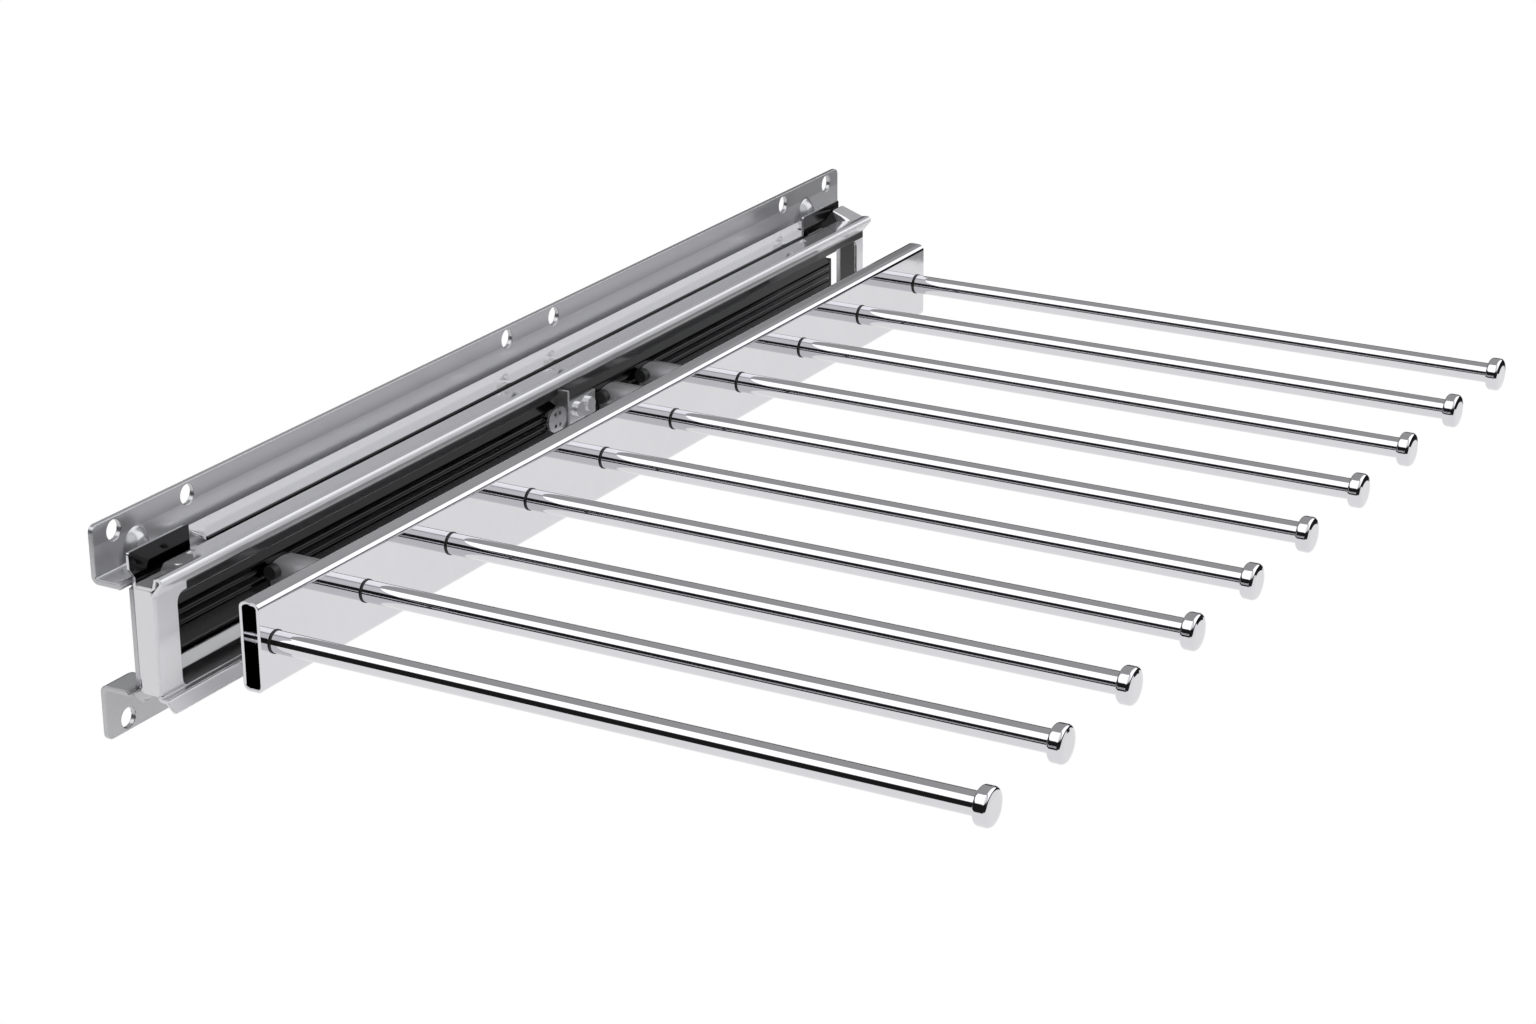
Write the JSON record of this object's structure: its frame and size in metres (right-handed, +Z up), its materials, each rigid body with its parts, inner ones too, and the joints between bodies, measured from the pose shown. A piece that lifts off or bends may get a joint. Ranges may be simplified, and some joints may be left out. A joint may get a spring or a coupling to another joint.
{
  "type": "pull-out trouser rack",
  "caption": "Side-mounted pull-out trouser rack: chromed wall bracket with a ball slide that carries a rectangular bar of straight round hanging arms with rounded end caps.",
  "frame": {"origin": "on the wall face of the bracket, in the middle of its length and height, at the centre of the mounting holes", "axes": "+X away from the side wall along the arms, +Y along the bracket into the wardrobe (the rack pulls out along -Y), +Z up"},
  "size_m": [0.3118, 0.496, 0.075],
  "materials": {
    "chrome_sheet": "polished",
    "chrome_tube": "polished",
    "rail_steel": "satin",
    "zinc_steel": "satin",
    "ball_steel": "polished",
    "dark_plastic": "matt",
    "black_rubber": "matt"
  },
  "bodies": {
    "bracket": {"wall_bracket": "chrome_sheet", "back_plate": "chrome_sheet", "outer_rail": "rail_steel", "rail_rivets": "zinc_steel", "rear_buffer": "black_rubber"},
    "middle": {"middle_rail": "rail_steel"},
    "outer_cage": {"outer_cages": "dark_plastic", "outer_balls": "ball_steel"},
    "inner_cage": {"inner_cages": "dark_plastic", "inner_balls": "ball_steel"},
    "carriage": {"inner_rail": "rail_steel", "carriage_frame": "chrome_sheet", "front_saddle": "zinc_steel", "middle_saddle": "zinc_steel", "rear_saddle": "zinc_steel", "saddle_pads": "black_rubber", "centre_bracket": "zinc_steel", "bracket_screws": "zinc_steel", "arm_bar": "chrome_tube", "arm_rings": "dark_plastic", "arm_1": "chrome_tube", "arm_2": "chrome_tube", "arm_3": "chrome_tube", "arm_4": "chrome_tube", "arm_5": "chrome_tube", "arm_6": "chrome_tube", "arm_7": "chrome_tube", "arm_8": "chrome_tube", "arm_9": "chrome_tube", "arm_10": "chrome_tube", "cap_1": "chrome_tube", "cap_2": "chrome_tube", "cap_3": "chrome_tube", "cap_4": "chrome_tube", "cap_5": "chrome_tube", "cap_6": "chrome_tube", "cap_7": "chrome_tube", "cap_8": "chrome_tube", "cap_9": "chrome_tube", "cap_10": "chrome_tube"}
  },
  "joints": [
    {"name": "carriage_slide", "type": "slide", "parent": "bracket", "child": "carriage", "axis": [0, -1, 0], "range_m": [0, 0.45]},
    {"name": "middle_slide", "type": "slide", "parent": "bracket", "child": "middle", "axis": [0, -1, 0], "range_m": [0, 0.225]},
    {"name": "outer_cage_slide", "type": "slide", "parent": "bracket", "child": "outer_cage", "axis": [0, -1, 0], "range_m": [0, 0.1125]},
    {"name": "inner_cage_slide", "type": "slide", "parent": "bracket", "child": "inner_cage", "axis": [0, -1, 0], "range_m": [0, 0.3375]}
  ],
  "couplings": [
    {"joint": "middle_slide", "follows": "carriage_slide", "ratio": 0.5},
    {"joint": "outer_cage_slide", "follows": "carriage_slide", "ratio": 0.25},
    {"joint": "inner_cage_slide", "follows": "carriage_slide", "ratio": 0.75}
  ]
}
